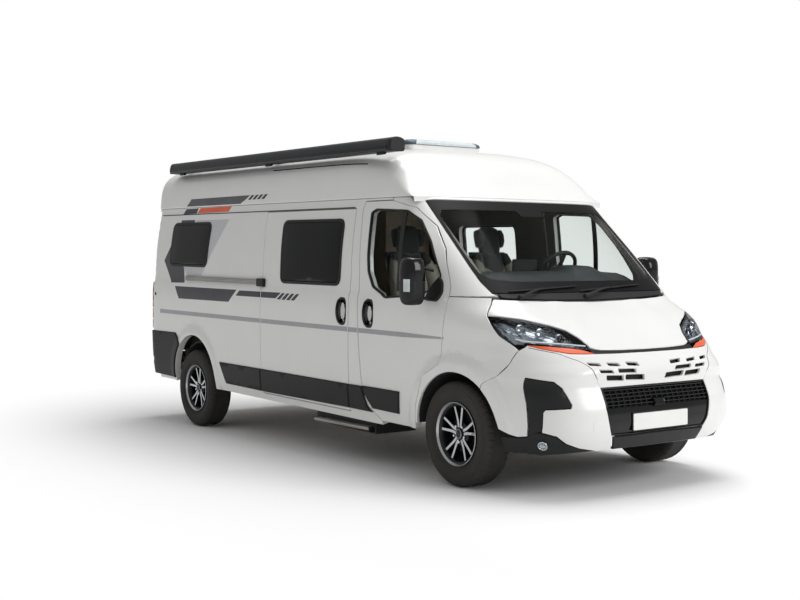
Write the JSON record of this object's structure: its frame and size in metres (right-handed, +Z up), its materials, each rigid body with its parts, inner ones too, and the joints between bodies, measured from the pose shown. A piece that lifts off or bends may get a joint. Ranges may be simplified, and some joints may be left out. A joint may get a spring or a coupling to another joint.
{
  "type": "camper van",
  "caption": "High-roof camper van: hollow body shell with swinging cab and rear doors, lifting hood, roof hatch, pull-out side step, steered front wheels and a furnished living area.",
  "frame": {"origin": "on the ground, midway between the bumpers and between the sides", "axes": "+X forward along the van, +Y to the van's left, +Z up"},
  "size_m": [5.9974, 2.508, 2.5595],
  "materials": {
    "white_paint": "glossy white body paint",
    "chassis_steel": "satin black chassis paint",
    "cast_block": "bare casting",
    "floor_lining": "grey vinyl over board",
    "cab_lining": "pale moulded lining",
    "black_plastic": "grained anthracite plastic",
    "lamp_lens": "clear lens over chrome",
    "red_lens": "red lamp lens",
    "clear_glass": "lightly tinted safety glass",
    "dark_glass": "dark tinted glass",
    "tinted_acrylic": "smoked acrylic in a black frame",
    "dome_acrylic": "smoked translucent acrylic",
    "hatch_plastic": "off-white moulded plastic",
    "seat_fabric": "woven seat cover",
    "furniture_board": "laminated light board",
    "anthracite_case": "satin anthracite powder coat",
    "step_aluminium": "ribbed anodised tread",
    "hub_iron": "machined casting",
    "black_alloy": "black lacquer with turned faces",
    "tyre_rubber": "black tyre rubber"
  },
  "bodies": {
    "body": {"floor": "floor_lining", "wheel_houses": "chassis_steel", "front_subframe": "chassis_steel", "rear_axle": "chassis_steel", "engine": "cast_block", "underbody": "chassis_steel", "left_side_panel": "white_paint", "right_side_panel": "white_paint", "roof_panel": "white_paint", "roof_brow": "white_paint", "cab_frame": "cab_lining", "front_wings": "white_paint", "front_bumper": "white_paint", "grille": "black_plastic", "headlights": "lamp_lens", "cowl": "black_plastic", "windscreen": "clear_glass", "dashboard": "black_plastic", "cab_seats": "seat_fabric", "furniture": "furniture_board", "sliding_door": "white_paint", "side_windows": "tinted_acrylic", "side_trim": "black_plastic", "rear_bumper": "black_plastic", "tail_lamps": "red_lens", "awning": "anthracite_case", "hatch_frame": "hatch_plastic"},
    "hood": {"hood": "white_paint"},
    "left_cab_door": {"left_cab_door": "white_paint", "left_door_glass": "clear_glass", "left_mirror": "black_plastic"},
    "right_cab_door": {"right_cab_door": "white_paint", "right_door_glass": "clear_glass", "right_mirror": "black_plastic"},
    "left_rear_door": {"left_rear_door": "white_paint", "left_rear_glass": "dark_glass"},
    "right_rear_door": {"right_rear_door": "white_paint", "right_rear_glass": "dark_glass"},
    "roof_hatch": {"hatch_dome": "dome_acrylic"},
    "side_step": {"side_step": "step_aluminium"},
    "steering_wheel": {"steering_wheel": "black_plastic"},
    "left_knuckle": {"left_knuckle": "hub_iron"},
    "right_knuckle": {"right_knuckle": "hub_iron"},
    "front_left_wheel": {"front_left_rim": "black_alloy", "front_left_tyre": "tyre_rubber"},
    "front_right_wheel": {"front_right_rim": "black_alloy", "front_right_tyre": "tyre_rubber"},
    "rear_left_wheel": {"rear_left_rim": "black_alloy", "rear_left_tyre": "tyre_rubber"},
    "rear_right_wheel": {"rear_right_rim": "black_alloy", "rear_right_tyre": "tyre_rubber"}
  },
  "joints": [
    {"name": "left_cab_door_hinge", "type": "hinge", "parent": "body", "child": "left_cab_door", "pos_m": [1.96445, 1.018, 1.00183], "axis": [-0.0195, 0, -0.9998], "range_deg": [0, 70]},
    {"name": "right_cab_door_hinge", "type": "hinge", "parent": "body", "child": "right_cab_door", "pos_m": [1.96445, -1.018, 1.00183], "axis": [0.0195, 0, 0.9998], "range_deg": [0, 70]},
    {"name": "left_rear_door_hinge", "type": "hinge", "parent": "body", "child": "left_rear_door", "pos_m": [-2.9597, 0.885, 1.29814], "axis": [-0.0195, 0, -0.9998], "range_deg": [0, 180]},
    {"name": "right_rear_door_hinge", "type": "hinge", "parent": "body", "child": "right_rear_door", "pos_m": [-2.9597, -0.885, 1.29814], "axis": [0.0195, 0, 0.9998], "range_deg": [0, 180]},
    {"name": "hood_hinge", "type": "hinge", "parent": "body", "child": "hood", "pos_m": [2.16828, 0, 1.29791], "axis": [0, -1, 0], "range_deg": [0, 50]},
    {"name": "roof_hatch_hinge", "type": "hinge", "parent": "body", "child": "roof_hatch", "pos_m": [0.04258, 0, 2.51069], "axis": [0, -1, 0], "range_deg": [0, 60]},
    {"name": "side_step_slide", "type": "slide", "parent": "body", "child": "side_step", "axis": [0, -1, 0], "range_m": [0, 0.25]},
    {"name": "left_steering", "type": "hinge", "parent": "body", "child": "left_knuckle", "pos_m": [2.052, 0.8, 0.364], "axis": [0, 0, 1], "range_deg": [-34, 34]},
    {"name": "right_steering", "type": "hinge", "parent": "body", "child": "right_knuckle", "pos_m": [2.052, -0.8, 0.364], "axis": [0, 0, 1], "range_deg": [-34, 34]},
    {"name": "steering_wheel_turn", "type": "hinge", "parent": "body", "child": "steering_wheel", "pos_m": [1.50243, 0.42, 1.46595], "axis": [-0.7867, 0, 0.6173], "range_deg": [-540, 540]},
    {"name": "front_left_wheel_turn", "type": "hinge", "parent": "left_knuckle", "child": "front_left_wheel", "pos_m": [2.052, 0.905, 0.364], "axis": [0, 1, 0], "continuous": true},
    {"name": "front_right_wheel_turn", "type": "hinge", "parent": "right_knuckle", "child": "front_right_wheel", "pos_m": [2.052, -0.905, 0.364], "axis": [0, 1, 0], "continuous": true},
    {"name": "rear_left_wheel_turn", "type": "hinge", "parent": "body", "child": "rear_left_wheel", "pos_m": [-1.983, 0.905, 0.364], "axis": [0, 1, 0], "continuous": true},
    {"name": "rear_right_wheel_turn", "type": "hinge", "parent": "body", "child": "rear_right_wheel", "pos_m": [-1.983, -0.905, 0.364], "axis": [0, 1, 0], "continuous": true}
  ],
  "couplings": [
    {"joint": "right_steering", "follows": "left_steering", "ratio": 1},
    {"joint": "steering_wheel_turn", "follows": "left_steering", "ratio": 15}
  ]
}
